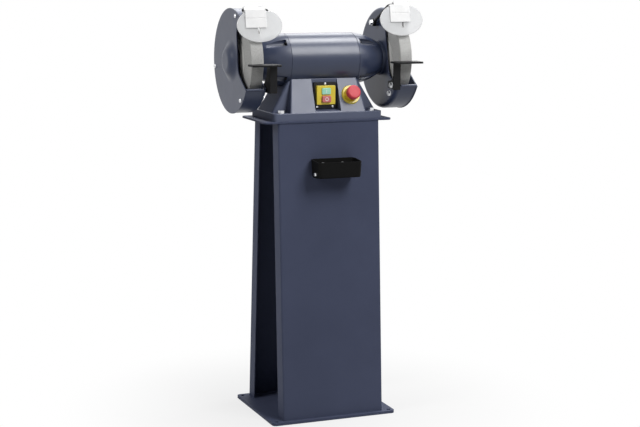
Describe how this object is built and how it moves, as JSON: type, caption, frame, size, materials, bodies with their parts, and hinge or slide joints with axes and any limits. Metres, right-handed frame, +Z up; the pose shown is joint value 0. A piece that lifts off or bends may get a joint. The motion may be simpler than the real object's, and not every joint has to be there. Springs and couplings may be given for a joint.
{
  "type": "pedestal bench grinder",
  "caption": "Double-ended bench grinder with guarded abrasive wheels, tool rests, eye shields, switch and emergency stop, bolted on a leaning-panel sheet-steel pedestal with a coolant tray.",
  "frame": {"origin": "on the floor, under the middle of the base plate", "axes": "+X along the spindle to the right-hand wheel, +Y to the back, +Z up"},
  "size_m": [0.562, 0.336, 1.1988],
  "materials": {
    "stand_paint": "dark blue-grey powder coat, satin",
    "machine_paint": "dark blue-grey enamel on cast and turned iron, semi-gloss",
    "black_steel": "black satin paint on steel plate",
    "zinc_steel": "bright zinc plate",
    "turned_steel": "turned steel",
    "motor_iron": "laminated iron",
    "copper_windings": "varnished copper wire",
    "abrasive": "grey vitrified grit, rough",
    "blotter_paper": "pale paper disc",
    "tray_plastic": "black moulded plastic",
    "black_plastic": "black moulded plastic",
    "yellow_plastic": "yellow moulded plastic",
    "green_plastic": "green moulded plastic",
    "red_plastic": "red moulded plastic",
    "white_plastic": "white moulded plastic",
    "clear_sheet": "clear safety sheet"
  },
  "bodies": {
    "stand": {"base_plate": "stand_paint", "front_panel": "stand_paint", "rear_panel": "stand_paint", "top_plate": "stand_paint", "tray_screws": "zinc_steel", "grinder_base": "machine_paint", "base_bolts": "zinc_steel", "base_nuts": "zinc_steel", "saddle_bolts": "zinc_steel", "cable_gland": "black_plastic", "motor_shell": "machine_paint", "stator_core": "motor_iron", "stator_windings": "copper_windings", "left_end_bell": "machine_paint", "right_end_bell": "machine_paint", "bell_screws": "zinc_steel", "bearing_outer_races": "turned_steel", "left_guard": "machine_paint", "right_guard": "machine_paint", "guard_screws": "zinc_steel", "left_guard_cover": "machine_paint", "right_guard_cover": "machine_paint", "cover_screws": "zinc_steel", "arrester_screws": "zinc_steel", "rest_bolts": "zinc_steel", "pivot_bolts": "zinc_steel", "switch_body": "black_plastic", "switch_cover": "yellow_plastic", "switch_screws": "zinc_steel", "estop_ring": "yellow_plastic", "estop_block": "black_plastic"},
    "spindle": {"spindle": "turned_steel", "rotor": "motor_iron", "bearing_inner_races": "turned_steel", "inner_flanges": "turned_steel", "outer_flanges": "turned_steel", "spindle_nuts": "turned_steel", "wheel_blotters": "blotter_paper", "left_wheel": "abrasive", "right_wheel": "abrasive"},
    "tray": {"coolant_tray": "tray_plastic", "drain_plug": "zinc_steel"},
    "left_rest": {"left_tool_rest": "black_steel", "left_rest_bracket": "black_steel"},
    "left_arrester": {"left_spark_arrester": "black_steel"},
    "left_arm": {"left_shield_arm": "black_steel"},
    "left_shield": {"left_shield_holder": "white_plastic", "left_thumbscrews": "zinc_steel", "left_eye_shield": "clear_sheet"},
    "right_rest": {"right_tool_rest": "black_steel", "right_rest_bracket": "black_steel"},
    "right_arrester": {"right_spark_arrester": "black_steel"},
    "right_arm": {"right_shield_arm": "black_steel"},
    "right_shield": {"right_shield_holder": "white_plastic", "right_thumbscrews": "zinc_steel", "right_eye_shield": "clear_sheet"},
    "start_button": {"start_button": "green_plastic"},
    "stop_button": {"stop_button": "red_plastic"},
    "estop_stem": {"estop_stem": "black_plastic"},
    "estop_button": {"estop_button": "red_plastic"}
  },
  "joints": [
    {"name": "spindle_spin", "type": "hinge", "parent": "stand", "child": "spindle", "pos_m": [0, 0, 1.026], "axis": [1, 0, 0], "continuous": true},
    {"name": "tray_lift", "type": "slide", "parent": "stand", "child": "tray", "axis": [0, 0.0601, 0.9982], "range_m": [0, 0.014]},
    {"name": "left_rest_slide", "type": "slide", "parent": "stand", "child": "left_rest", "axis": [0, -1, 0], "range_m": [-0.002, 0.015]},
    {"name": "left_arrester_slide", "type": "slide", "parent": "stand", "child": "left_arrester", "axis": [0, -0.5, 0.866], "range_m": [-0.0025, 0.0035]},
    {"name": "left_arm_swing", "type": "hinge", "parent": "stand", "child": "left_arm", "pos_m": [-0.184, 0.01434, 1.128], "axis": [-1, 0, 0], "range_deg": [0, 45]},
    {"name": "left_shield_tilt", "type": "hinge", "parent": "left_arm", "child": "left_shield", "pos_m": [-0.224, -0.09433, 1.17044], "axis": [-1, 0, 0], "range_deg": [0, 70]},
    {"name": "right_rest_slide", "type": "slide", "parent": "stand", "child": "right_rest", "axis": [0, -1, 0], "range_m": [-0.002, 0.015]},
    {"name": "right_arrester_slide", "type": "slide", "parent": "stand", "child": "right_arrester", "axis": [0, -0.5, 0.866], "range_m": [-0.0025, 0.0035]},
    {"name": "right_arm_swing", "type": "hinge", "parent": "stand", "child": "right_arm", "pos_m": [0.184, 0.01434, 1.128], "axis": [-1, 0, 0], "range_deg": [0, 45]},
    {"name": "right_shield_tilt", "type": "hinge", "parent": "right_arm", "child": "right_shield", "pos_m": [0.224, -0.0893, 1.18156], "axis": [-1, 0, 0], "range_deg": [0, 70]},
    {"name": "start_press", "type": "slide", "parent": "stand", "child": "start_button", "axis": [0, 1, 0], "range_m": [0, 0.003], "stiffness_N_per_m": 300},
    {"name": "stop_press", "type": "slide", "parent": "stand", "child": "stop_button", "axis": [0, 1, 0], "range_m": [0, 0.003], "stiffness_N_per_m": 300},
    {"name": "estop_push", "type": "slide", "parent": "stand", "child": "estop_stem", "axis": [0, 0.9278, -0.373], "range_m": [0, 0.004]},
    {"name": "estop_twist", "type": "hinge", "parent": "estop_stem", "child": "estop_button", "pos_m": [0.075, -0.07435, 0.92839], "axis": [0, -0.9278, 0.373], "range_deg": [0, 30], "stiffness_Nm_per_rad": 0.05}
  ]
}
